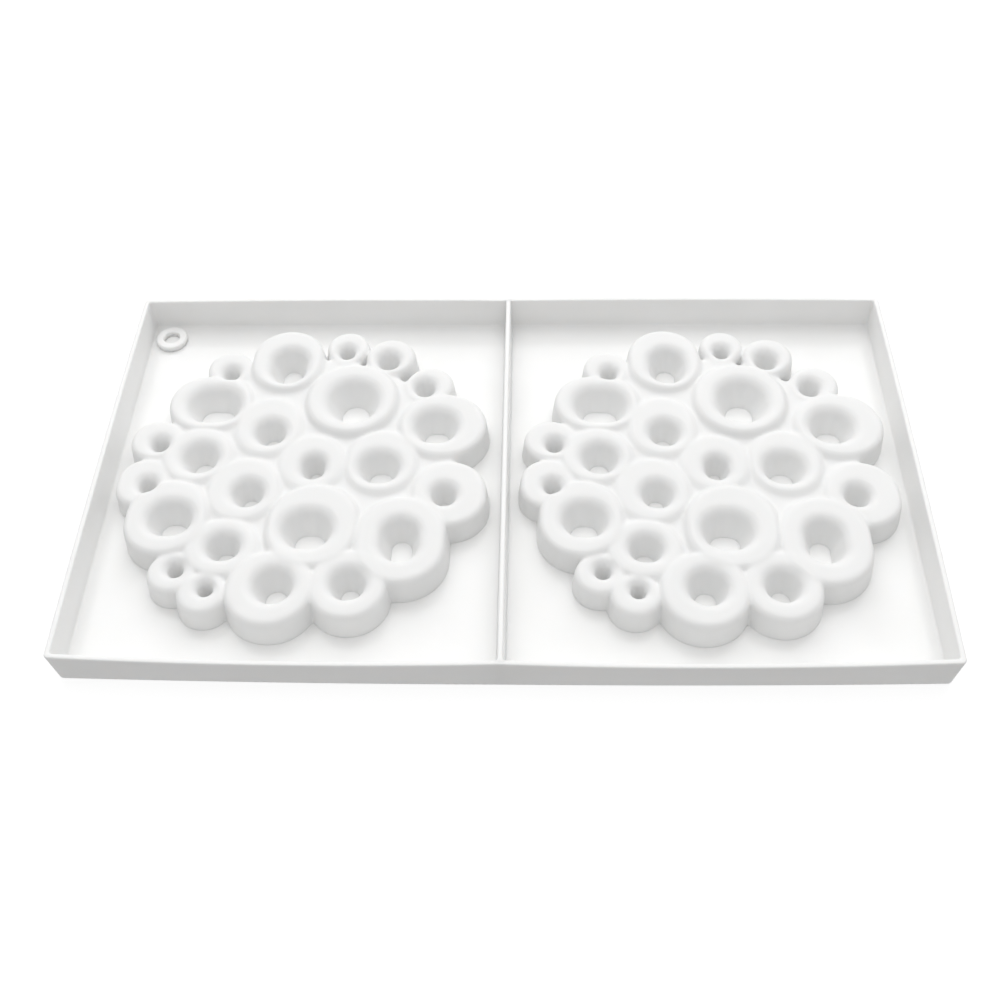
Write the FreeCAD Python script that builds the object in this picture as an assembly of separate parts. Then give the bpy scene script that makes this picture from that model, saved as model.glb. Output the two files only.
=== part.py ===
"""Two-cell casting mould: a thin-walled white tray with a divider, and in each cell the same
raised cluster of ring bosses, whose funnel holes end blind on the tray floor.

Millimetres. +Z is up and the mould rests on Z = 0. The origin is the middle of the underside.
+X runs along the two cells, and -Y is the side named front.
"""
import FreeCAD, Part
import math
import os

# Driving dimensions of the tray
tray_length = 250.0         # X, at the rim's corners
tray_depth = 143.0          # Y, at the rim's corners
tray_height = 12.5
floor_thickness = 1.6
rim_thickness = 1.6
outer_lean = 0.8            # how far the outside leans out between the foot and the rim
inner_lean = 0.4            # the same for the inside
corner_radius = 1.6         # outside, at the rim
inner_corner_radius = 0.8
side_bow = 0.5              # the soft walls belly outwards between their corners
front_bow = 1.3             # the front and back walls belly once for each cell
back_bow = 0.5
front_push = 1.2            # the divider holds the middle of these walls this far out
back_push = 0.3
foot_bow_share = 0.3        # the foot bellies less than the rim
rim_round = 0.5
foot_round = 0.8

# The divider
divider_thickness = 1.5     # at its top edge
divider_foot_thickness = 2.1
divider_round = 0.5

# The ring bosses. Both cells hold the same cluster.
side_draft = 6.0            # degrees, outside of a boss
edge_round = 2.3            # outer shoulder of a boss
lip_round = 2.3             # inner shoulder, where the funnel starts
rim_drop = 1.2              # a hole's rim radius is measured this far under its crest
lip_lift = 0.06             # the lip's round is set this much over the crest, so that it cuts it
seat_share = 0.52           # radius of a hole on the floor, over its rim radius
web_height = 6.8            # fill between the bosses, above the floor

# x, y, foot radius, height above the floor, stretch, direction of the stretch.
# x and y are from the cell's centre. A stretched boss is two half rounds and a straight run.
BOSSES = [
    (-29.5, 42.2, 8.1, 7.6, 0.0, 0.0),
    (-10.6, 44.9, 12.5, 9.0, 3.6, 90.0),
    (8.8, 51.8, 7.7, 7.8, 0.0, 0.0),
    (23.5, 47.0, 8.8, 8.2, 0.0, 0.0),
    (37.0, 34.5, 8.5, 7.8, 0.0, 0.0),
    (42.2, 16.3, 14.1, 8.8, 1.0, 0.0),
    (45.4, -11.0, 12.0, 8.4, 2.6, 90.0),
    (31.8, -28.9, 14.2, 9.2, 5.2, 90.0),
    (17.8, -44.8, 11.9, 9.0, 2.0, 90.0),
    (-4.6, -46.3, 13.5, 9.2, 1.0, 90.0),
    (-24.0, -47.5, 8.0, 8.1, 0.0, 0.0),
    (-33.9, -40.1, 8.1, 7.9, 0.0, 0.0),
    (-39.0, -20.6, 13.3, 8.9, 3.2, 90.0),
    (-49.0, -6.6, 8.9, 7.8, 2.6, 90.0),
    (-48.0, 10.6, 8.9, 7.8, 0.0, 0.0),
    (-33.2, 26.1, 12.5, 8.6, 3.5, 0.0),
    (12.4, 27.1, 15.5, 9.4, 1.0, 90.0),
    (-13.0, 15.9, 11.3, 8.2, 3.6, 90.0),
    (-33.8, 3.9, 11.9, 8.4, 0.0, 0.0),
    (2.4, 1.2, 11.4, 8.1, 1.2, 90.0),
    (23.9, 1.4, 11.8, 8.5, 3.2, 90.0),
    (-17.4, -9.7, 12.1, 8.3, 2.0, 90.0),
    (5.3, -23.9, 14.6, 9.4, 3.6, 90.0),
    (-20.8, -31.6, 11.3, 8.5, 1.0, 0.0),
]
edge_boss_count = 16        # the first ones stand round the edge of the cluster

# The funnel hole in each boss, in the same order: x, y, rim radius, stretch, direction
HOLES = [
    (-28.9, 39.9, 2.7, 0.0, 0.0),
    (-9.8, 42.2, 6.0, 3.0, 90.0),
    (8.6, 49.4, 2.6, 0.0, 0.0),
    (22.8, 45.2, 3.7, 0.0, 0.0),
    (35.5, 33.2, 3.4, 0.0, 0.0),
    (40.0, 15.8, 6.6, 1.0, 0.0),
    (43.8, -11.4, 4.0, 0.0, 0.0),
    (31.6, -28.9, 5.9, 3.6, 90.0),
    (17.8, -44.6, 5.4, 0.0, 0.0),
    (-3.7, -45.4, 6.0, 0.0, 0.0),
    (-23.3, -46.0, 2.4, 0.0, 0.0),
    (-33.2, -39.2, 2.5, 0.0, 0.0),
    (-38.0, -21.2, 6.2, 1.5, 0.0),
    (-47.6, -7.6, 2.8, 0.0, 0.0),
    (-46.8, 9.0, 2.8, 0.0, 0.0),
    (-32.0, 25.0, 7.0, 3.5, 0.0),
    (12.9, 26.1, 8.3, 1.0, 90.0),
    (-12.3, 13.6, 5.0, 0.0, 0.0),
    (-32.9, 3.0, 5.8, 0.0, 0.0),
    (2.8, -0.4, 3.8, 1.5, 90.0),
    (23.3, -0.8, 6.0, 1.0, 0.0),
    (-16.0, -11.0, 5.0, 0.0, 0.0),
    (3.8, -25.4, 6.8, 2.0, 0.0),
    (-20.4, -31.4, 4.6, 1.0, 0.0),
]

# The small ring on the floor, in the back left corner
ring_outer_radius = 5.2
ring_hole_radius = 2.6
ring_height = 2.0
ring_round = 0.6
ring_gap_side = 1.6         # to the left wall's foot
ring_gap_back = 2.2         # to the back wall's foot

# Worked out from them
half_length = tray_length / 2
half_depth = tray_depth / 2
cell_pitch = half_length - rim_thickness / 2
above = 5.0                 # how far a cutting block runs past the rim
level_tolerance = 1e-4      # two heights this close are the same


def vector(x, y, z=0.0):
    return FreeCAD.Vector(x, y, z)


def bowed_edges(points, bow, outward):
    """Arcs from each point to the next, each of which bellies outwards by bow."""
    edges = []
    for first, last in zip(points, points[1:]):
        middle = (first + last) * 0.5 + outward * bow
        edges.append(Part.Arc(first, middle, last).toShape())
    return edges


def corner_edge(centre, radius, start_angle):
    """A quarter round that turns left from start_angle, in degrees."""
    points = []
    for step in (0, 45, 90):
        angle = math.radians(start_angle + step)
        points.append(centre + vector(math.cos(angle), math.sin(angle)) * radius)
    return Part.Arc(points[0], points[1], points[2]).toShape()


def outline(inset, radius, bow_share, z):
    """The tray's outline, this far inside the rim's own, with its share of the rim's bows."""
    x = half_length - inset
    y = half_depth - inset
    cx = x - radius
    cy = y - radius
    front = [vector(-cx, -y, z), vector(0, -y - front_push, z), vector(cx, -y, z)]
    right = [vector(x, -cy, z), vector(x, cy, z)]
    back = [vector(cx, y, z), vector(0, y + back_push, z), vector(-cx, y, z)]
    left = [vector(-x, cy, z), vector(-x, -cy, z)]
    edges = bowed_edges(front, front_bow * bow_share, vector(0, -1))
    edges.append(corner_edge(vector(cx, -cy, z), radius, -90))
    edges += bowed_edges(right, side_bow * bow_share, vector(1, 0))
    edges.append(corner_edge(vector(cx, cy, z), radius, 0))
    edges += bowed_edges(back, back_bow * bow_share, vector(0, 1))
    edges.append(corner_edge(vector(-cx, cy, z), radius, 90))
    edges += bowed_edges(left, side_bow * bow_share, vector(-1, 0))
    edges.append(corner_edge(vector(-cx, -cy, z), radius, 180))
    return Part.Wire(edges)


def outer_block():
    foot = outline(outer_lean, corner_radius, foot_bow_share, 0.0)
    rim = outline(0.0, corner_radius, 1.0, tray_height)
    return Part.makeLoft([foot, rim], True, True)


def inner_block():
    """The tray's inside, carried on past the rim so that it cuts clean."""
    foot_share = foot_bow_share + (1 - foot_bow_share) * floor_thickness / tray_height
    foot = outline(rim_thickness + inner_lean, inner_corner_radius, foot_share, floor_thickness)
    reach = (tray_height - floor_thickness + above) / (tray_height - floor_thickness)
    top_inset = rim_thickness + inner_lean * (1 - reach)
    top_share = foot_share + (1 - foot_share) * reach
    top = outline(top_inset, inner_corner_radius, top_share, tray_height + above)
    return Part.makeLoft([foot, top], True, True)


def slab(low_z, high_z):
    size = tray_length + 2 * above
    width = tray_depth + 2 * above
    return Part.makeBox(size, width, high_z - low_z, vector(-size / 2, -width / 2, low_z))


def is_level(edge, z):
    return all(abs(vertex.Z - z) < level_tolerance for vertex in edge.Vertexes)


def level_edges(shape, z):
    return [edge for edge in shape.Edges if is_level(edge, z)]


def tray_floor():
    plate = outer_block().common(slab(0.0, floor_thickness))
    return plate.makeFillet(foot_round, level_edges(plate, 0.0))


def wall_loop():
    loop = outer_block().common(slab(floor_thickness, tray_height + above)).cut(inner_block())
    return loop.makeFillet(rim_round, level_edges(loop, tray_height))


def wedge(points):
    """A tall prism over these points, which picks one wall out of the loop."""
    corners = [vector(x, y, -above) for x, y in points]
    face = Part.Face(Part.makePolygon(corners + corners[:1]))
    return face.extrude(vector(0, 0, tray_height + 2 * above))


def walls():
    """The loop parted at its corners, along their diagonals."""
    loop = wall_loop()
    x = half_length + above
    y = half_depth + above
    ridge = half_length - half_depth
    regions = {
        "front_wall": [(-x, -y), (x, -y), (ridge, 0), (-ridge, 0)],
        "right_wall": [(x, -y), (x, y), (ridge, 0)],
        "back_wall": [(x, y), (-x, y), (-ridge, 0), (ridge, 0)],
        "left_wall": [(-x, y), (-x, -y), (-ridge, 0)],
    }
    return {name: loop.common(wedge(points)) for name, points in regions.items()}


def divider_wall():
    """A tapered strip from front to back, which ends on the walls' inner faces."""
    top = divider_thickness / 2
    foot = divider_foot_thickness / 2
    start = -half_depth - front_push
    section = [
        vector(-foot, start, floor_thickness),
        vector(foot, start, floor_thickness),
        vector(top, start, tray_height),
        vector(-top, start, tray_height),
    ]
    face = Part.Face(Part.makePolygon(section + section[:1]))
    strip = face.extrude(vector(0, tray_depth + front_push + back_push, 0))
    crest = [edge for edge in level_edges(strip, tray_height) if edge.Length > tray_depth]
    return strip.makeFillet(divider_round, crest).common(inner_block())


def boss_profile(foot_radius, height):
    """Half section of a boss without its hole."""
    slope = math.radians(side_draft)
    top = floor_thickness + height
    turn_z = top - edge_round * (1 - math.sin(slope))
    turn_r = foot_radius - math.tan(slope) * (turn_z - floor_thickness)
    level_r = turn_r - edge_round * math.cos(slope)
    bend = (slope + math.pi / 2) / 2
    middle = vector(level_r + edge_round * math.cos(bend), 0, top - edge_round * (1 - math.sin(bend)))
    return [
        Part.makeLine(vector(0, 0, floor_thickness), vector(foot_radius, 0, floor_thickness)),
        Part.makeLine(vector(foot_radius, 0, floor_thickness), vector(turn_r, 0, turn_z)),
        Part.Arc(vector(turn_r, 0, turn_z), middle, vector(level_r, 0, top)).toShape(),
        Part.makeLine(vector(level_r, 0, top), vector(0, 0, top)),
        Part.makeLine(vector(0, 0, top), vector(0, 0, floor_thickness)),
    ]


def funnel_profile(rim_radius, height):
    """Half section of what is cut away: a funnel with a rounded lip, and the air above it."""
    top = floor_thickness + height + lip_lift
    seat = rim_radius * seat_share
    slope = math.atan((rim_radius - seat) / (height - rim_drop))
    turn_z = top - lip_round * (1 - math.sin(slope))
    turn_r = seat + math.tan(slope) * (turn_z - floor_thickness)
    crest_r = turn_r + lip_round * math.cos(slope)
    bend = (slope + math.pi / 2) / 2
    middle = vector(crest_r - lip_round * math.cos(bend), 0, top - lip_round * (1 - math.sin(bend)))
    roof = tray_height + above
    return [
        Part.makeLine(vector(0, 0, floor_thickness), vector(seat, 0, floor_thickness)),
        Part.makeLine(vector(seat, 0, floor_thickness), vector(turn_r, 0, turn_z)),
        Part.Arc(vector(turn_r, 0, turn_z), middle, vector(crest_r, 0, top)).toShape(),
        Part.makeLine(vector(crest_r, 0, top), vector(crest_r, 0, roof)),
        Part.makeLine(vector(crest_r, 0, roof), vector(0, 0, roof)),
        Part.makeLine(vector(0, 0, roof), vector(0, 0, floor_thickness)),
    ]


def turned(edges, x, y, stretch, direction):
    """The half section turned about Z. A stretch parts its two halves and fills between them."""
    face = Part.Face(Part.Wire(edges))
    if stretch == 0:
        solid = face.revolve(vector(0, 0), vector(0, 0, 1), 360)
    else:
        right = face.revolve(vector(0, 0), vector(0, 0, 1), 180)
        right.rotate(vector(0, 0), vector(0, 0, 1), -90)
        right.translate(vector(stretch / 2, 0))
        left = right.copy()
        left.rotate(vector(0, 0), vector(0, 0, 1), 180)
        flank = face.copy()
        flank.rotate(vector(0, 0), vector(0, 0, 1), 90)
        flank.translate(vector(-stretch / 2, 0))
        far_side = flank.extrude(vector(stretch, 0))
        near_side = far_side.copy()
        near_side.rotate(vector(0, 0), vector(0, 0, 1), 180)
        solid = right.fuse([left, far_side, near_side]).removeSplitter()
        solid.rotate(vector(0, 0), vector(0, 0, 1), direction)
    solid.translate(vector(x, y))
    return solid


def boss_cluster():
    """One cell's cluster, about the cell's centre."""
    bodies = []
    funnels = []
    for (x, y, foot_radius, height, stretch, direction), hole in zip(BOSSES, HOLES):
        bodies.append(turned(boss_profile(foot_radius, height), x, y, stretch, direction))
        hole_x, hole_y, rim_radius, hole_stretch, hole_direction = hole
        edges = funnel_profile(rim_radius, height)
        funnels.append(turned(edges, hole_x, hole_y, hole_stretch, hole_direction))
    corners = [vector(boss[0], boss[1], floor_thickness) for boss in BOSSES[:edge_boss_count]]
    web = Part.Face(Part.makePolygon(corners + corners[:1])).extrude(vector(0, 0, web_height))
    return web.fuse(bodies).cut(funnels).removeSplitter()


def corner_ring():
    ring = Part.makeCylinder(ring_outer_radius, ring_height)
    ring = ring.cut(Part.makeCylinder(ring_hole_radius, ring_height))
    ring = ring.makeFillet(ring_round, level_edges(ring, ring_height))
    inset = rim_thickness + inner_lean + ring_outer_radius
    x = inset + ring_gap_side - half_length
    y = half_depth - inset - ring_gap_back
    ring.translate(vector(x, y, floor_thickness))
    return ring


def build():
    parts = {"tray_floor": tray_floor()}
    parts.update(walls())
    parts["divider_wall"] = divider_wall()
    for name, side in (("left_boss_cluster", -0.5), ("right_boss_cluster", 0.5)):
        cluster = boss_cluster()
        cluster.translate(vector(side * cell_pitch, 0))
        parts[name] = cluster
    parts["corner_ring"] = corner_ring()
    return parts


os.makedirs("parts", exist_ok=True)
for node, shape in build().items():
    shape.exportStep("parts/" + node + ".step")
    box = shape.BoundBox
    print(node, "solids", len(shape.Solids), "faces", len(shape.Faces), "valid", shape.isValid())
    print("    volume %.1f" % shape.Volume, "box %.2f %.2f %.2f to %.2f %.2f %.2f" % (
        box.XMin, box.YMin, box.ZMin, box.XMax, box.YMax, box.ZMax))
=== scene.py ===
# %% [markdown]
# # A resin casting mould: a white silicone tray with two clusters of ring bosses
#
# The real mould is one moulding in soft white silicone, about as long as a hand and a half.
# A low wall runs round it and a thin divider parts it into two cells.
# In each cell stands the same round cluster of ring-shaped bosses, and resin poured round them
# sets as a disc full of holes.
# The CAD part holds every size. This script loads it as a fixed frame and builds the soft,
# blended surfaces and the silicone finishes in its place.

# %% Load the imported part
import math

import bmesh
import bpy
import numpy as np
from mathutils import Euler, Matrix, Vector


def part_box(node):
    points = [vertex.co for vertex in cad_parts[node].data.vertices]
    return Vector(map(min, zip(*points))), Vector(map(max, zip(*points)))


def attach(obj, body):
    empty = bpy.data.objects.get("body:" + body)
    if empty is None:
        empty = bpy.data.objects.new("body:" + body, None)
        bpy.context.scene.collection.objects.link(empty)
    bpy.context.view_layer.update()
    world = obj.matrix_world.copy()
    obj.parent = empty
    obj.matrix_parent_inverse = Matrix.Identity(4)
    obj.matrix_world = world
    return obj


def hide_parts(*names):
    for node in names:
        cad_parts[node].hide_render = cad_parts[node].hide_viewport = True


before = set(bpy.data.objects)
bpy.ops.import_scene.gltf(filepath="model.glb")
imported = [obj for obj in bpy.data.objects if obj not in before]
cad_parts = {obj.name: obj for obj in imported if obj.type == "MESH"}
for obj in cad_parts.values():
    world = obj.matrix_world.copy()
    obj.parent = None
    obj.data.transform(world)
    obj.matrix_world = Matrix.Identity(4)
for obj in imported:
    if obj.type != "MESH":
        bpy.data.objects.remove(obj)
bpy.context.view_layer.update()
mm = 0.001

# %% [markdown]
# ## Sizes
#
# Heights and the pitch of the cells are read from the CAD nodes, so that the visual model and the
# solids can't drift apart. The outline is a rectangle with slightly bellied sides, because thin
# silicone never stays straight. Its sizes are named here, since the walls' own boxes end at the
# mitres of the corners and don't hold them.

# %% Sizes
floor_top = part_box("tray_floor")[1].z
rim_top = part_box("front_wall")[1].z
cell_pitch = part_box("right_boss_cluster")[0].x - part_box("left_boss_cluster")[0].x
cells = {"left": -cell_pitch / 2, "right": cell_pitch / 2}
half_length = 125.0 * mm        # at the rim's corners
half_depth = 71.5 * mm
rim_thickness = 1.6 * mm
outer_lean = 0.8 * mm           # how far the outside leans out between the foot and the rim
inner_lean = 0.4 * mm
print("floor, rim and pitch of the cells in mm:",
      [round(size / mm, 2) for size in (floor_top, rim_top, cell_pitch)])

# %% [markdown]
# ## Node trees written as sums
#
# Both the bosses and the finishes are formulas, and a formula is easier to read as a sum than as
# a page of nodes and links. `Wire` wraps one output socket, and its operators add Math nodes.
# `Tree.add` adds any other node: settings first, and then a value or a wire for each socket.

# %% Wires and trees
class Wire:
    """One output socket. Arithmetic on it adds Math nodes to its tree."""

    def __init__(self, tree, socket):
        self.tree = tree
        self.socket = socket

    def __add__(self, other):
        return self.tree.math("ADD", self, other)

    def __radd__(self, other):
        return self.tree.math("ADD", other, self)

    def __sub__(self, other):
        return self.tree.math("SUBTRACT", self, other)

    def __rsub__(self, other):
        return self.tree.math("SUBTRACT", other, self)

    def __mul__(self, other):
        return self.tree.math("MULTIPLY", self, other)

    def __rmul__(self, other):
        return self.tree.math("MULTIPLY", other, self)

    def __truediv__(self, other):
        return self.tree.math("DIVIDE", self, other)

    def __rtruediv__(self, other):
        return self.tree.math("DIVIDE", other, self)


class Tree:
    """A node tree, and the two ways in which this script adds nodes to it."""

    def __init__(self, nodes, links):
        self.nodes = nodes
        self.links = links

    def node(self, kind, settings=None, sockets=None):
        """Adds a node. Its settings go first, because some of them change its sockets."""
        node = self.nodes.new(kind)
        for name, setting in (settings or {}).items():
            setattr(node, name, setting)
        for key, value in (sockets or {}).items():
            self.feed(node.inputs[key], value)
        return node

    def feed(self, socket, value):
        if isinstance(value, Wire):
            self.links.new(value.socket, socket)
        else:
            socket.default_value = value

    def add(self, kind, settings=None, sockets=None, output=0):
        return Wire(self, self.node(kind, settings, sockets).outputs[output])

    def math(self, operation, *values):
        return self.add("ShaderNodeMath", {"operation": operation}, dict(enumerate(values)))

    def vector(self, operation, *values, output=0):
        settings = {"operation": operation}
        return self.add("ShaderNodeVectorMath", settings, dict(enumerate(values)), output)


# %% [markdown]
# ## The boss table
#
# Each cluster holds 24 bosses, with no rule to where they stand, so they are a table.
# Sixteen stand round the edge and eight fill the middle.
# A boss has a round or slightly drawn-out foot, steep sides, a soft crown, and a funnel hole that
# narrows down to the tray floor.

# %% Bosses and holes of one cluster
# x, y, foot radius, height above the floor, stretch, direction of the stretch:
# millimetres from the cell's centre, and degrees
BOSSES = [
    (-29.5, 42.2, 8.1, 7.6, 0.0, 0.0),
    (-10.6, 44.9, 12.5, 9.0, 3.6, 90.0),
    (8.8, 51.8, 7.7, 7.8, 0.0, 0.0),
    (23.5, 47.0, 8.8, 8.2, 0.0, 0.0),
    (37.0, 34.5, 8.5, 7.8, 0.0, 0.0),
    (42.2, 16.3, 14.1, 8.8, 1.0, 0.0),
    (45.4, -11.0, 12.0, 8.4, 2.6, 90.0),
    (31.8, -28.9, 14.2, 9.2, 5.2, 90.0),
    (17.8, -44.8, 11.9, 9.0, 2.0, 90.0),
    (-4.6, -46.3, 13.5, 9.2, 1.0, 90.0),
    (-24.0, -47.5, 8.0, 8.1, 0.0, 0.0),
    (-33.9, -40.1, 8.1, 7.9, 0.0, 0.0),
    (-39.0, -20.6, 13.3, 8.9, 3.2, 90.0),
    (-49.0, -6.6, 8.9, 7.8, 2.6, 90.0),
    (-48.0, 10.6, 8.9, 7.8, 0.0, 0.0),
    (-33.2, 26.1, 12.5, 8.6, 3.5, 0.0),
    (12.4, 27.1, 15.5, 9.4, 1.0, 90.0),
    (-13.0, 15.9, 11.3, 8.2, 3.6, 90.0),
    (-33.8, 3.9, 11.9, 8.4, 0.0, 0.0),
    (2.4, 1.2, 11.4, 8.1, 1.2, 90.0),
    (23.9, 1.4, 11.8, 8.5, 3.2, 90.0),
    (-17.4, -9.7, 12.1, 8.3, 2.0, 90.0),
    (5.3, -23.9, 14.6, 9.4, 3.6, 90.0),
    (-20.8, -31.6, 11.3, 8.5, 1.0, 0.0),
]

# the funnel hole in each boss, in the same order: x, y, rim radius, stretch, direction
HOLES = [
    (-28.9, 39.9, 2.7, 0.0, 0.0),
    (-9.8, 42.2, 6.0, 3.0, 90.0),
    (8.6, 49.4, 2.6, 0.0, 0.0),
    (22.8, 45.2, 3.7, 0.0, 0.0),
    (35.5, 33.2, 3.4, 0.0, 0.0),
    (40.0, 15.8, 6.6, 1.0, 0.0),
    (43.8, -11.4, 4.0, 0.0, 0.0),
    (31.6, -28.9, 5.9, 3.6, 90.0),
    (17.8, -44.6, 5.4, 0.0, 0.0),
    (-3.7, -45.4, 6.0, 0.0, 0.0),
    (-23.3, -46.0, 2.4, 0.0, 0.0),
    (-33.2, -39.2, 2.5, 0.0, 0.0),
    (-38.0, -21.2, 6.2, 1.5, 0.0),
    (-47.6, -7.6, 2.8, 0.0, 0.0),
    (-46.8, 9.0, 2.8, 0.0, 0.0),
    (-32.0, 25.0, 7.0, 3.5, 0.0),
    (12.9, 26.1, 8.3, 1.0, 90.0),
    (-12.3, 13.6, 5.0, 0.0, 0.0),
    (-32.9, 3.0, 5.8, 0.0, 0.0),
    (2.8, -0.4, 3.8, 1.5, 90.0),
    (23.3, -0.8, 6.0, 1.0, 0.0),
    (-16.0, -11.0, 5.0, 0.0, 0.0),
    (3.8, -25.4, 6.8, 2.0, 0.0),
    (-20.4, -31.4, 4.6, 1.0, 0.0),
]
SEAT_SHARE = 0.52       # radius of a hole on the floor, over its rim radius
RIM_DROP = 1.2          # in mm: a hole's rim radius is measured this far under the crown
print(len(BOSSES), "bosses and", len(HOLES), "holes in each cluster")


# %% Points that carry the table
def boss_points():
    """A mesh of loose points, one for each boss, whose attributes are the boss's sizes."""
    x, y, foot, height, stretch, direction = np.array(BOSSES).T
    hole_x, hole_y, rim, hole_stretch, hole_direction = np.array(HOLES).T
    mesh = bpy.data.meshes.new("boss_points")
    mesh.from_pydata([(px * mm, py * mm, 0) for px, py in zip(x, y)], [], [])
    seat = rim * SEAT_SHARE
    columns = {
        "foot_radius": foot * mm,
        "height": height * mm,
        "reach": stretch / 2 * mm,
        "turn": np.radians(direction),
        "seat_radius": seat * mm,
        "flare": (rim - seat) / (height - RIM_DROP),
        "hole_reach": hole_stretch / 2 * mm,
        "hole_turn": np.radians(hole_direction),
    }
    for name, values in columns.items():
        mesh.attributes.new(name, "FLOAT", "POINT").data.foreach_set("value", values)
    places = np.column_stack([hole_x * mm, hole_y * mm, np.zeros(len(HOLES))])
    hole_place = mesh.attributes.new("hole_place", "FLOAT_VECTOR", "POINT")
    hole_place.data.foreach_set("vector", places.ravel())
    points = bpy.data.objects.new("boss_points", mesh)
    bpy.context.scene.collection.objects.link(points)
    return points


# %% [markdown]
# ## A cluster as one formula
#
# On the real mould the bosses flow into each other, with a soft valley wherever two of them meet.
# Modelling each ring and joining them by booleans would leave hard creases to bevel by hand.
# So the cluster is written as one distance formula, which is negative inside the silicone.
# A Repeat Zone goes through the bosses and takes a smooth minimum of their bodies and a minimum
# of their funnels. Volume Cube samples the formula on a fine grid, and Volume to Mesh finds the
# surface where it passes zero.

# %% The formula for rounded corners
def rounded(tree, first, second, radius):
    """The part inside both shapes, with this radius along the edge where they cross."""
    first = first + radius
    second = second + radius
    past_first = tree.math("MAXIMUM", first, 0)
    past_second = tree.math("MAXIMUM", second, 0)
    corner = tree.math("SQRT", past_first * past_first + past_second * past_second)
    return corner + tree.math("MINIMUM", tree.math("MAXIMUM", first, second), 0) - radius


# %% One boss of the Repeat Zone
def distance_to_boss(tree, place, centre, reach, turn):
    """How far a place is, seen from above, from the boss's middle line."""
    way = tree.vector("SUBTRACT", place, centre)
    line = tree.add("ShaderNodeCombineXYZ", sockets={
        0: tree.math("COSINE", turn), 1: tree.math("SINE", turn)})
    along = tree.vector("DOT_PRODUCT", way, line, output="Value")
    held = tree.math("MAXIMUM", tree.math("MINIMUM", along, reach), 0 - reach)
    nearest = tree.vector("SCALE", line)
    tree.feed(nearest.socket.node.inputs["Scale"], held)
    return tree.vector("DISTANCE", way, nearest, output="Value")


# %% The cluster's node tree
CLUSTER_SIZES = {
    "Voxel": 0.5 * mm,
    "Draft": math.tan(math.radians(6.0)),
    "Shoulder": 1.9 * mm,
    "Lip": 2.3 * mm,
    "Crease": 1.4 * mm,
    "Web height": 6.8 * mm,
    "Web radius": 47.0 * mm,
    "Web crease": 3.0 * mm,
    "Floor": floor_top,
}


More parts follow.
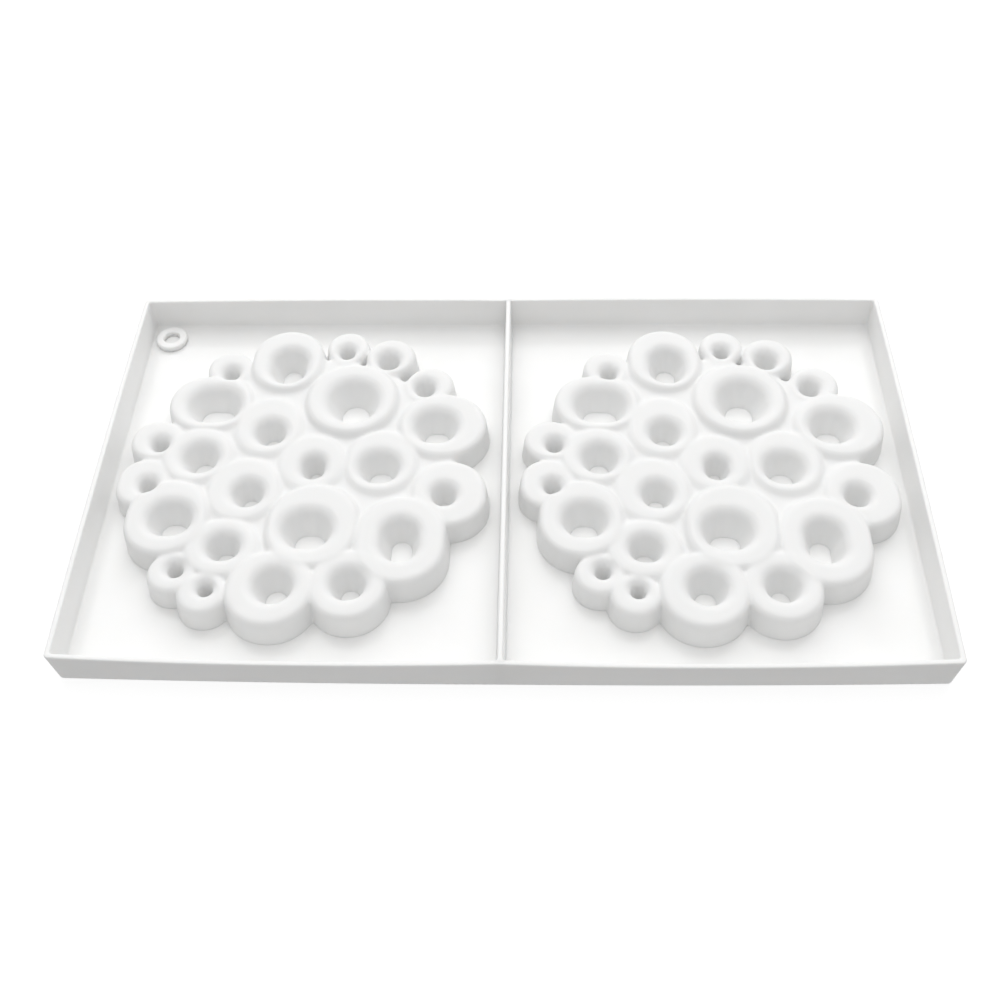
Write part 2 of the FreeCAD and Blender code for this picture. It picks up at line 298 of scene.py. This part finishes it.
def cluster_tree():
    group = bpy.data.node_groups.new("boss_cluster", "GeometryNodeTree")
    group.is_modifier = True
    make_socket = group.interface.new_socket
    make_socket("Bosses", in_out="INPUT", socket_type="NodeSocketGeometry")
    for name in CLUSTER_SIZES:
        make_socket(name, in_out="INPUT", socket_type="NodeSocketFloat")
    make_socket("Box low", in_out="INPUT", socket_type="NodeSocketVector")
    make_socket("Box high", in_out="INPUT", socket_type="NodeSocketVector")
    make_socket("Finish", in_out="INPUT", socket_type="NodeSocketMaterial")
    make_socket("Cluster", in_out="OUTPUT", socket_type="NodeSocketGeometry")

    tree = Tree(group.nodes, group.links)
    group_input = tree.node("NodeGroupInput")
    given = {socket.name: Wire(tree, socket) for socket in group_input.outputs if socket.name}

    position = tree.add("GeometryNodeInputPosition")
    split = tree.node("ShaderNodeSeparateXYZ", sockets={0: position})
    place = tree.add("ShaderNodeCombineXYZ", sockets={
        0: Wire(tree, split.outputs[0]), 1: Wire(tree, split.outputs[1])})
    rise = Wire(tree, split.outputs[2]) - given["Floor"]

    # the zone's two running values start far outside everything
    far = 1.0
    zone_in = tree.node("GeometryNodeRepeatInput")
    zone_out = tree.node("GeometryNodeRepeatOutput")
    zone_in.pair_with_output(zone_out)
    zone_out.repeat_items.clear()
    zone_out.repeat_items.new("FLOAT", "Body")
    zone_out.repeat_items.new("FLOAT", "Hole")
    count = tree.add("GeometryNodeAttributeDomainSize", {"component": "MESH"}, {0: given["Bosses"]})
    tree.feed(zone_in.inputs["Iterations"], count)
    tree.feed(zone_in.inputs["Body"], far)
    tree.feed(zone_in.inputs["Hole"], far)
    number = Wire(tree, zone_in.outputs["Iteration"])

    def of_boss(name, kind="FLOAT"):
        """This boss's value of one of the points' attributes."""
        value = tree.add("GeometryNodeInputNamedAttribute", {"data_type": kind}, {"Name": name})
        return tree.add("GeometryNodeSampleIndex", {"data_type": kind}, {
            "Geometry": given["Bosses"], "Value": value, "Index": number})

    centre = of_boss("position", "FLOAT_VECTOR")
    slant = tree.math("SQRT", given["Draft"] * given["Draft"] + 1)
    from_boss = distance_to_boss(tree, place, centre, of_boss("reach"), of_boss("turn"))
    side = (from_boss - of_boss("foot_radius") + given["Draft"] * rise) / slant
    body = rounded(tree, side, rise - of_boss("height"), given["Shoulder"])

    hole_centre = of_boss("hole_place", "FLOAT_VECTOR")
    from_hole = distance_to_boss(
        tree, place, hole_centre, of_boss("hole_reach"), of_boss("hole_turn"))
    flare = of_boss("flare")
    funnel_slant = tree.math("SQRT", flare * flare + 1)
    funnel = (from_hole - of_boss("seat_radius") - flare * rise) / funnel_slant

    running = {name: Wire(tree, zone_in.outputs[name]) for name in ("Body", "Hole")}
    tree.feed(zone_out.inputs["Body"], tree.math("SMOOTH_MIN", running["Body"], body, given["Crease"]))
    tree.feed(zone_out.inputs["Hole"], tree.math("MINIMUM", running["Hole"], funnel))
    bodies = Wire(tree, zone_out.outputs["Body"])
    holes = Wire(tree, zone_out.outputs["Hole"])

    # the web: a round pad lower than the crowns, which fills the gaps between the bosses
    from_middle = tree.vector("LENGTH", place, output="Value")
    web = rounded(tree, from_middle - given["Web radius"], rise - given["Web height"], given["Lip"])
    solid = tree.math("SMOOTH_MIN", bodies, web, given["Web crease"])
    solid = rounded(tree, solid, 0 - holes, given["Lip"])

    # the grid holds 1 on the surface and more inside it, counted in voxels
    on_surface = 1.0
    size = tree.vector("SUBTRACT", given["Box high"], given["Box low"])
    steps = tree.node("ShaderNodeSeparateXYZ", sockets={
        0: tree.vector("DIVIDE", size, tree.add("ShaderNodeCombineXYZ", sockets={
            axis: given["Voxel"] for axis in range(3)}))})
    cube = tree.add("GeometryNodeVolumeCube", sockets={
        "Density": on_surface - solid / given["Voxel"],
        "Min": given["Box low"],
        "Max": given["Box high"],
        "Resolution X": Wire(tree, steps.outputs[0]),
        "Resolution Y": Wire(tree, steps.outputs[1]),
        "Resolution Z": Wire(tree, steps.outputs[2])})
    skin = tree.add("GeometryNodeVolumeToMesh", sockets={"Volume": cube, "Threshold": on_surface})
    skin = tree.add("GeometryNodeSetShadeSmooth", sockets={"Geometry": skin, "Shade Smooth": True})
    skin = tree.add("GeometryNodeRealizeInstances", sockets={"Geometry": skin})
    skin = tree.add("GeometryNodeSetMaterial", sockets={"Geometry": skin, "Material": given["Finish"]})
    output = tree.node("NodeGroupOutput")
    tree.feed(output.inputs["Cluster"], skin)
    return group


def set_inputs(modifier, values):
    """Sets a modifier's inputs through their identifiers."""
    for item in modifier.node_group.interface.items_tree:
        if item.in_out == "INPUT" and item.name in values:
            modifier[item.identifier] = values[item.name]


cluster_group = cluster_tree()
print("cluster tree:", len(cluster_group.nodes), "nodes")


# %% [markdown]
# ## Silicone
#
# The whole mould is one white silicone, but its surfaces copy the tool that it was cast in.
# The tool was polished for the floor of the tray, bead-blasted for the bosses, and left with a
# plain satin finish for the walls. So one recipe makes all the finishes: a slightly cloudy white,
# a fine grain in relief, a patchy gloss where hands and resin have dulled it, and a slow swell,
# since a thin soft floor never lies quite flat. A little light passes under the surface.
# The grain sits in the material's bump, because it is far finer than the mesh.

# %% Parts of the silicone recipe
PATCH_SIZE = 22 * mm        # of the slow change between the two whites
HANDLED_SIZE = 9 * mm       # of the duller and glossier patches
SWELL_SIZE = 30 * mm        # of the slow swell of the surface
POLISHED = 0.6              # share of the roughness that the polished floor lacks


def cloud(tree, coordinates, size, detail=2.0, roughness=0.5):
    """Soft noise from 0 to 1, whose patches are about this size."""
    return tree.add("ShaderNodeTexNoise", sockets={
        "Vector": coordinates, "Scale": 1 / size, "Detail": detail, "Roughness": roughness})


def between(tree, share, low, high):
    """A value that runs from low to high as the share runs over the middle of the noise."""
    return tree.add("ShaderNodeMapRange", sockets={
        "Value": share, "From Min": 0.3, "From Max": 0.7, "To Min": low, "To Max": high})


def tinted(tree, share, first, second):
    """A colour mixed from two by a share."""
    mixer = tree.node("ShaderNodeMix", {"data_type": "RGBA"}, {"Factor": share})
    colour_inputs = [socket for socket in mixer.inputs if socket.type == "RGBA"]
    for socket, colour in zip(colour_inputs, (first, second)):
        socket.default_value = (*colour, 1.0)
    return Wire(tree, next(socket for socket in mixer.outputs if socket.type == "RGBA"))


def relief(tree, height, depth, over=None):
    """Bump of this depth, on top of another one if that is given."""
    bump = tree.node("ShaderNodeBump", sockets={"Height": height, "Distance": depth, "Strength": 1.0})
    if over is not None:
        tree.feed(bump.inputs["Normal"], over)
    return Wire(tree, bump.outputs[0])


# %% Finishes
def silicone(name, white, cloudy, gloss, grain, swell, polished_floor=False):
    """gloss and grain are pairs: roughness from and to, and the grain's size and depth."""
    material = bpy.data.materials.new(name)
    material.use_nodes = True
    tree = Tree(material.node_tree.nodes, material.node_tree.links)
    shader = material.node_tree.nodes["Principled BSDF"]
    coordinates = tree.add("ShaderNodeTexCoord", output="Object")

    patches = between(tree, cloud(tree, coordinates, PATCH_SIZE, 3.0), 0.0, 1.0)
    tree.feed(shader.inputs["Base Color"], tinted(tree, patches, white, cloudy))

    handled = cloud(tree, coordinates, HANDLED_SIZE, 4.0, 0.6)
    roughness = between(tree, handled, *gloss)
    if polished_floor:
        roughness = roughness * polish(tree, coordinates)
    tree.feed(shader.inputs["Roughness"], roughness)

    grain_size, grain_depth = grain
    waves = relief(tree, cloud(tree, coordinates, SWELL_SIZE, 1.0), swell)
    fine = relief(tree, cloud(tree, coordinates, grain_size, 2.0, 0.6), grain_depth, waves)
    tree.feed(shader.inputs["Normal"], fine)

    shader.inputs["IOR"].default_value = 1.41
    shader.inputs["Subsurface Weight"].default_value = 0.35
    shader.inputs["Subsurface Radius"].default_value = (1.0, 0.95, 0.9)
    shader.inputs["Subsurface Scale"].default_value = 1.5 * mm
    return material


def polish(tree, coordinates):
    """How much of the roughness is left: little on the level floor, all of it elsewhere."""
    facing = tree.add("ShaderNodeTexCoord", output="Normal")
    upward = tree.node("ShaderNodeSeparateXYZ", sockets={0: facing}).outputs[2]
    level = tree.add("ShaderNodeMapRange", sockets={
        "Value": Wire(tree, upward), "From Min": 0.90, "From Max": 0.99, "To Min": 0.0, "To Max": 1.0})
    up = tree.node("ShaderNodeSeparateXYZ", sockets={0: coordinates}).outputs[2]
    low = tree.add("ShaderNodeMapRange", sockets={
        "Value": Wire(tree, up), "From Min": floor_top + 0.3 * mm, "From Max": floor_top + 1.2 * mm,
        "To Min": 1.0, "To Max": 0.0})
    return 1 - level * low * POLISHED


tray_finish = silicone(
    "satin_silicone", (0.885, 0.885, 0.880), (0.865, 0.865, 0.857),
    gloss=(0.30, 0.40), grain=(0.5 * mm, 0.006 * mm), swell=0.12 * mm, polished_floor=True)
cluster_finish = silicone(
    "frosted_silicone", (0.850, 0.850, 0.845), (0.832, 0.833, 0.829),
    gloss=(0.50, 0.64), grain=(0.35 * mm, 0.02 * mm), swell=0.05 * mm)
ring_finish = silicone(
    "ring_silicone", (0.900, 0.900, 0.895), (0.885, 0.885, 0.878),
    gloss=(0.34, 0.46), grain=(0.4 * mm, 0.008 * mm), swell=0.03 * mm)
print("finishes:", ", ".join(finish.name for finish in (tray_finish, cluster_finish, ring_finish)))


# %% [markdown]
# ## From the formula to two clusters
#
# The formula is evaluated once, about the cell's centre, and the result is kept as a plain mesh.
# A plane cuts it just inside the floor, and the cut is closed, so that the cluster is a solid that
# could be printed. Both cells of the real mould hold the same relief, so each gets a copy.

# %% Grow one cluster
def cluster_mesh():
    """The cluster about the cell's centre, closed by a flat underside just inside the floor."""
    points = boss_points()
    low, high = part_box("left_boss_cluster")
    to_cell = Vector((-cells["left"], 0, 0))
    spare = 1.5 * mm
    modifier = points.modifiers.new("cluster", "NODES")
    modifier.node_group = cluster_group
    values = dict(CLUSTER_SIZES)
    values["Box low"] = [side - spare for side in low + to_cell]
    values["Box high"] = [side + spare for side in high + to_cell]
    values["Finish"] = cluster_finish
    set_inputs(modifier, values)
    graph = bpy.context.evaluated_depsgraph_get()
    mesh = bpy.data.meshes.new_from_object(points.evaluated_get(graph), depsgraph=graph)
    points.modifiers.remove(modifier)
    bpy.data.objects.remove(points)

    sunk = 0.4 * mm
    shape = bmesh.new()
    shape.from_mesh(mesh)
    cut = bmesh.ops.bisect_plane(
        shape, geom=shape.verts[:] + shape.edges[:] + shape.faces[:],
        plane_co=(0, 0, floor_top - sunk), plane_no=(0, 0, 1), clear_inner=True)
    rim = [edge for edge in cut["geom_cut"] if isinstance(edge, bmesh.types.BMEdge)]
    filled = bmesh.ops.triangle_fill(shape, use_beauty=True, edges=rim, normal=(0, 0, -1))
    for face in filled["geom"]:
        if isinstance(face, bmesh.types.BMFace):
            face.smooth = False
    print("open edges:", sum(1 for edge in shape.edges if not edge.is_manifold))
    shape.to_mesh(mesh)
    shape.free()
    return mesh


# %% Set it in both cells
first_mesh = cluster_mesh()
for side, x in cells.items():
    mesh = first_mesh.copy()
    mesh.transform(Matrix.Translation((x, 0, 0)))
    piece = bpy.data.objects.new(side + "_cluster", mesh)
    bpy.context.scene.collection.objects.link(piece)
    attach(piece, "root")
    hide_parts(side + "_boss_cluster")
    print(piece.name + ":", sum(len(face.vertices) - 2 for face in mesh.polygons), "triangles")


# %% [markdown]
# ## The tray: one section led round the outline
#
# Floor and wall are one skin on the real mould, with a small round where they meet, a soft rim,
# and a rounded foot. A section of straight runs is drawn once, its corners are rounded by
# `soft_section`, and each of its points becomes a closed ring round the tray.

# %% A section with rounded corners
def soft_section(corners, steps=6):
    """Points of a line through corners of (across, up, radius), with an arc at each radius."""
    points = []
    for index, (across, up, radius) in enumerate(corners):
        corner = np.array((across, up))
        if radius == 0:
            points.append(corner)
            continue
        before = np.array(corners[index - 1][:2]) - corner
        after = np.array(corners[(index + 1) % len(corners)][:2]) - corner
        before /= np.linalg.norm(before)
        after /= np.linalg.norm(after)
        half_angle = math.acos(np.clip(before @ after, -1, 1)) / 2
        middle = (before + after) / np.linalg.norm(before + after)
        centre = corner + middle * radius / math.sin(half_angle)
        start = corner + before * radius / math.tan(half_angle) - centre
        end = corner + after * radius / math.tan(half_angle) - centre
        turn = math.pi - 2 * half_angle
        for step in range(steps + 1):
            share = step / steps
            arc = math.sin((1 - share) * turn) * start + math.sin(share * turn) * end
            points.append(centre + arc / math.sin(turn))
    return points


def add_piece(name, vertices, faces, finish, flat_faces=()):
    """A closed mesh object, smooth but for the faces named flat."""
    mesh = bpy.data.meshes.new(name)
    mesh.from_pydata([tuple(point) for point in vertices], [], faces)
    smooth = [number not in flat_faces for number in range(len(faces))]
    mesh.polygons.foreach_set("use_smooth", smooth)
    mesh.materials.append(finish)
    mesh.validate()
    piece = bpy.data.objects.new(name, mesh)
    bpy.context.scene.collection.objects.link(piece)
    return piece


# %% The outline and its bellies
SIDE_BOW = 0.5 * mm
FRONT_BOW = 1.3 * mm            # the front and back walls belly once for each cell
BACK_BOW = 0.5 * mm
FRONT_PUSH = 1.2 * mm           # the divider holds the middle of these walls this far out
BACK_PUSH = 0.3 * mm
FOOT_BOW_SHARE = 0.3            # the foot bellies less than the rim
CORNER_RADIUS = 1.6 * mm
INNER_CORNER_RADIUS = 0.8 * mm
SIDE_STEPS = 24                 # stations on each belly
CORNER_STEPS = 10


def belly(start, end, outward, bow):
    """Stations from start to just before end, which belly outwards by bow in the middle."""
    shares = np.arange(SIDE_STEPS) / SIDE_STEPS
    line = start + np.outer(shares, end - start)
    return line + np.outer(4 * shares * (1 - shares) * bow, outward)


def corner(centre, radius, start_angle):
    angles = np.radians(start_angle + 90 * np.arange(CORNER_STEPS) / CORNER_STEPS)
    return centre + radius * np.stack([np.cos(angles), np.sin(angles)], axis=1)


def outline(inset, radius, bow_share):
    """Stations round the tray, this far inside the rim's own outline."""
    x = half_length - inset
    y = half_depth - inset
    cx = x - radius
    cy = y - radius
    front = np.array([(-cx, -y), (0, -y - FRONT_PUSH), (cx, -y)])
    right = np.array([(x, -cy), (x, cy)])
    back = np.array([(cx, y), (0, y + BACK_PUSH), (-cx, y)])
    left = np.array([(-x, cy), (-x, -cy)])
    return np.concatenate([
        belly(front[0], front[1], (0, -1), FRONT_BOW * bow_share),
        belly(front[1], front[2], (0, -1), FRONT_BOW * bow_share),
        corner((cx, -cy), radius, -90),
        belly(right[0], right[1], (1, 0), SIDE_BOW * bow_share),
        corner((cx, cy), radius, 0),
        belly(back[0], back[1], (0, 1), BACK_BOW * bow_share),
        belly(back[1], back[2], (0, 1), BACK_BOW * bow_share),
        corner((-cx, cy), radius, 90),
        belly(left[0], left[1], (-1, 0), SIDE_BOW * bow_share),
        corner((-cx, -cy), radius, 180),
    ])


def ring_of_points(inset, z):
    """One ring of the tray's skin. Its corner radius shrinks from the outside to the inside."""
    depth = inset - outer_lean * (1 - z / rim_top)
    radius = min(CORNER_RADIUS, max(INNER_CORNER_RADIUS, CORNER_RADIUS - depth))
    share = FOOT_BOW_SHARE + (1 - FOOT_BOW_SHARE) * z / rim_top
    flat = outline(inset, radius, share)
    return np.column_stack([flat, np.full(len(flat), z)])


# %% The tray's skin
def tray_shell():
    rim_round = 0.5 * mm
    foot_round = 0.8 * mm
    floor_fillet = 0.9 * mm
    floor_edge = rim_thickness + inner_lean
    margin = 0.4 * mm           # a narrow level ring keeps the fillet's shading off the floor
    section = soft_section([
        (outer_lean + foot_round + margin, 0, 0),
        (outer_lean, 0, foot_round),
        (0, rim_top, rim_round),
        (rim_thickness, rim_top, rim_round),
        (floor_edge, floor_top, floor_fillet),
        (floor_edge + floor_fillet + margin, floor_top, 0),
    ])
    rings = [ring_of_points(inset, z) for inset, z in section]
    count = len(rings[0])
    faces = []
    for level in range(len(rings) - 1):
        for number in range(count):
            after = (number + 1) % count
            low = level * count
            high = low + count
            faces.append((low + number, low + after, high + after, high + number))
    faces.append(tuple(reversed(range(count))))
    top = (len(rings) - 1) * count
    faces.append(tuple(range(top, top + count)))
    level_faces = {len(faces) - 1, len(faces) - 2}
    return add_piece("tray_shell", np.concatenate(rings), faces, tray_finish, level_faces)


shell = tray_shell()
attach(shell, "root")
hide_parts("tray_floor", "front_wall", "right_wall", "back_wall", "left_wall")
print("tray shell:", len(shell.data.polygons), "faces")

# %% [markdown]
# ## The divider
#
# A thin tapered strip parts the cells. It flares into the floor and into the walls, as moulded
# silicone does, so it is led from wall to wall as a section whose width grows near its ends.

# %% The divider
def divider():
    top_half = 0.75 * mm
    foot_half = 1.05 * mm
    crest_round = 0.5 * mm
    foot_fillet = 0.6 * mm
    sunk = 0.3 * mm
    flare_radius = 1.2 * mm
    flare_steps = 9
    length_steps = 40
    into_wall = 0.5 * mm
    under = 0.05 * mm           # the fillet rises out of the floor, so no strip lies level with it
    side = soft_section([
        (foot_half + foot_fillet * 2, floor_top - sunk, 0),
        (foot_half + foot_fillet * 2, floor_top - under, 0),
        (foot_half, floor_top, foot_fillet),
        (top_half, rim_top, crest_round),
        (-top_half, rim_top, 0),
    ])[:-1]
    half = side + [np.array((-across, up)) for across, up in reversed(side)]
    start = -half_depth - FRONT_PUSH + rim_thickness - into_wall
    end = half_depth + BACK_PUSH - rim_thickness + into_wall
    bend = np.linspace(0, 1, flare_steps) ** 2 * flare_radius
    straight = np.linspace(start, end, length_steps)[1:-1]
    stations = np.concatenate([start + bend, straight, end - bend[::-1]])
    stations = np.unique(np.round(stations, 7))
    rings = []
    for y in stations:
        gap = min(y - start, end - y)
        flare = 0.0
        if gap < flare_radius:
            flare = flare_radius - math.sqrt(flare_radius ** 2 - (flare_radius - gap) ** 2)
        rings.append([(across + math.copysign(flare, across), y, up) for across, up in half])
    count = len(half)
    faces = []
    for level in range(len(rings) - 1):
        for number in range(count):
            after = (number + 1) % count
            low = level * count
            high = low + count
            faces.append((low + number, high + number, high + after, low + after))
    faces.append(tuple(range(count)))
    top = (len(rings) - 1) * count
    faces.append(tuple(reversed(range(top, top + count))))
    end_faces = {len(faces) - 1, len(faces) - 2}
    return add_piece("divider", np.concatenate(rings), faces, tray_finish, end_faces)


strip = divider()
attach(strip, "root")
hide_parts("divider_wall")
print("divider:", len(strip.data.polygons), "faces")

# %% [markdown]
# ## The corner ring
#
# A small flat ring stands on the floor in the back left corner. Its section is turned round an
# upright axis.

# %% The corner ring
def corner_ring():
    low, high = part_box("corner_ring")
    centre = (low + high) / 2
    outer = (high.x - low.x) / 2
    hole = 2.6 * mm
    crest_round = 0.7 * mm
    sunk = 0.2 * mm
    steps = 72
    section = soft_section([
        (hole, floor_top - sunk, 0),
        (hole, high.z, crest_round),
        (outer, high.z, crest_round),
        (outer, floor_top - sunk, 0),
    ], 8)
    vertices = []
    for step in range(steps):
        angle = 2 * math.pi * step / steps
        for across, up in section:
            x = centre.x + across * math.cos(angle)
            y = centre.y + across * math.sin(angle)
            vertices.append((x, y, up))
    count = len(section)
    faces = []
    for step in range(steps):
        here = step * count
        there = (step + 1) % steps * count
        for number in range(count):
            after = (number + 1) % count
            faces.append((here + number, here + after, there + after, there + number))
    return add_piece("corner_ring_soft", vertices, faces, ring_finish)


ring = corner_ring()
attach(ring, "root")
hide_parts("corner_ring")
print("corner ring:", len(ring.data.polygons), "faces")

# %% [markdown]
# ## A look at the meshes
#
# A mould's model should be closed, with its faces outwards. An edge that doesn't join exactly two
# faces is open, and a mesh that is inside out has a negative volume.

# %% Open edges and volumes
for piece in (shell, strip, ring):
    shape = bmesh.new()
    shape.from_mesh(piece.data)
    loose = sum(1 for edge in shape.edges if not edge.is_manifold)
    volume = shape.calc_volume(signed=True) / mm ** 3
    print(piece.name + ":", round(volume), "cubic mm,", loose, "open edges")
    shape.free()


# %% [markdown]
# ## Camera
#
# The mould is seen from the front and above, a little right of its middle, from about 40 cm away.

# %% Camera
CAMERA_LENS = 44.53             # millimetres, on a sensor 36 mm wide
CAMERA_PLACE = (0.010, -0.2441, 0.3009)
CAMERA_TURN = (38.33, 1.28, 1.17)       # degrees
camera = bpy.data.objects.new("camera", bpy.data.cameras.new("camera"))
bpy.context.scene.collection.objects.link(camera)
camera.data.sensor_width = 36.0
camera.data.lens = CAMERA_LENS
camera.location = CAMERA_PLACE
camera.rotation_euler = Euler([math.radians(angle) for angle in CAMERA_TURN])
bpy.context.scene.camera = camera
print("camera distance in metres:", round(camera.location.length, 3))

# %% [markdown]
# ## Studio
#
# White silicone shows its form only by how the light falls off, so the light is soft and comes
# mostly from a pale dome that is dimmer below. A wide softbox behind gives the glossier tray floor
# its sheen, and a weak one overhead lifts the crowns. The studio floor is left out of the light
# that bounces onto the mould, as if it stood on a darker table, so its sides stay grey.

# %% Light and floor
SKY_LIGHT = 0.57
GROUND_LIGHT = 0.41
FLOOR_WHITE = 0.3
FLOOR_GLOW = 0.8
HORIZON = (-0.05, 0.25)         # where the ground's light ends and the sky's begins


def studio_dome():
    """A plain white sky over a dim ground."""
    world = bpy.data.worlds.new("studio_dome")
    world.use_nodes = True
    tree = Tree(world.node_tree.nodes, world.node_tree.links)
    direction = tree.add("ShaderNodeTexCoord", output="Generated")
    height = Wire(tree, tree.node("ShaderNodeSeparateXYZ", sockets={0: direction}).outputs[2])
    strength = tree.add("ShaderNodeMapRange", sockets={
        "Value": height, "From Min": HORIZON[0], "From Max": HORIZON[1],
        "To Min": GROUND_LIGHT, "To Max": SKY_LIGHT})
    background = world.node_tree.nodes["Background"]
    background.inputs["Color"].default_value = (1.0, 1.0, 1.0, 1.0)
    tree.feed(background.inputs["Strength"], strength)
    bpy.context.scene.world = world


def softbox(name, place, aim, width, depth, power):
    light = bpy.data.lights.new(name, "AREA")
    light.shape = "RECTANGLE"
    light.size = width
    light.size_y = depth
    light.energy = power
    lamp = bpy.data.objects.new(name, light)
    lamp.location = place
    lamp.rotation_euler = (Vector(aim) - Vector(place)).to_track_quat("-Z", "Y").to_euler()
    bpy.context.scene.collection.objects.link(lamp)


def studio_floor():
    half = 3.0
    drop = 0.2 * mm
    mesh = bpy.data.meshes.new("studio_floor")
    corners = [(-half, -half, -drop), (half, -half, -drop), (half, half, -drop), (-half, half, -drop)]
    mesh.from_pydata(corners, [], [(0, 1, 2, 3)])
    finish = bpy.data.materials.new("studio_white")
    finish.use_nodes = True
    shader = finish.node_tree.nodes["Principled BSDF"]
    shader.inputs["Base Color"].default_value = (FLOOR_WHITE, FLOOR_WHITE, FLOOR_WHITE, 1.0)
    shader.inputs["Roughness"].default_value = 1.0
    shader.inputs["Specular IOR Level"].default_value = 0.0
    shader.inputs["Emission Color"].default_value = (1.0, 1.0, 1.0, 1.0)
    shader.inputs["Emission Strength"].default_value = FLOOR_GLOW
    mesh.materials.append(finish)
    floor = bpy.data.objects.new("studio_floor", mesh)
    bpy.context.scene.collection.objects.link(floor)
    floor.visible_diffuse = False


bpy.context.scene.view_settings.view_transform = "Standard"
studio_dome()
softbox("back_softbox", (0, 0.85, 0.95), (0, 0, 0), 1.6, 1.1, 9.5)
softbox("top_softbox", (0, -0.05, 1.1), (0, 0, 0), 1.2, 0.8, 2.6)
studio_floor()
